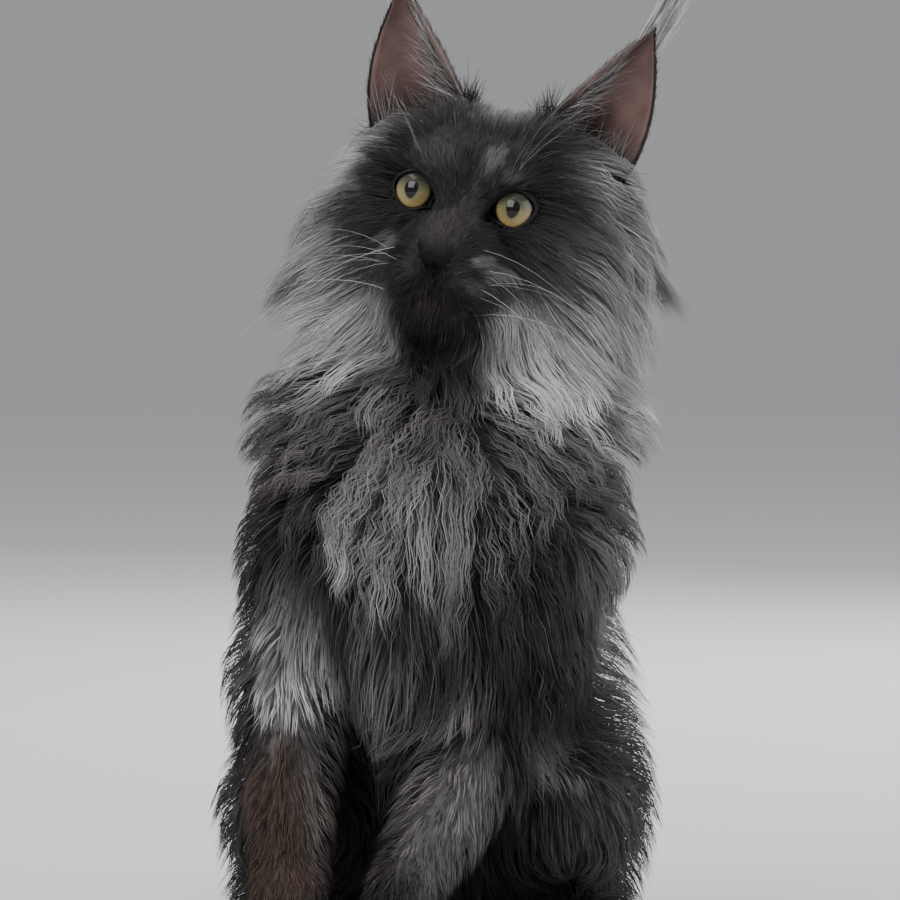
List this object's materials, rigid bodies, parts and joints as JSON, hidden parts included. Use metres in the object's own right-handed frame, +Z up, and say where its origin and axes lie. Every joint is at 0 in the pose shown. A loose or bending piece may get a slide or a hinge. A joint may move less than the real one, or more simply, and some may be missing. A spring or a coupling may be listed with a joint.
{
  "type": "maine coon cat",
  "caption": "Life-size maine coon cat that sits upright with its head turned and tilted, with tall tufted ears, a heavy ruff and a long plumed tail.",
  "frame": {"origin": "middle of the bounding box on the floor that the cat sits on", "axes": "+Z is up, the cat faces -Y, and its left side is at +X"},
  "size_m": [0.2154, 0.443, 0.4644],
  "materials": {
    "coat": "matte",
    "eye": "gloss"
  },
  "bodies": {
    "root": {"head": "coat", "neck": "coat", "torso": "coat", "ear_left": "coat", "ear_right": "coat", "eye_left": "eye", "eye_right": "eye", "foreleg_left": "coat", "foreleg_right": "coat", "forepaw_left": "coat", "forepaw_right": "coat", "thigh_left": "coat", "thigh_right": "coat", "hindfoot_left": "coat", "hindfoot_right": "coat", "tail_base": "coat", "tail_middle": "coat", "tail_tip": "coat"}
  },
  "joints": []
}
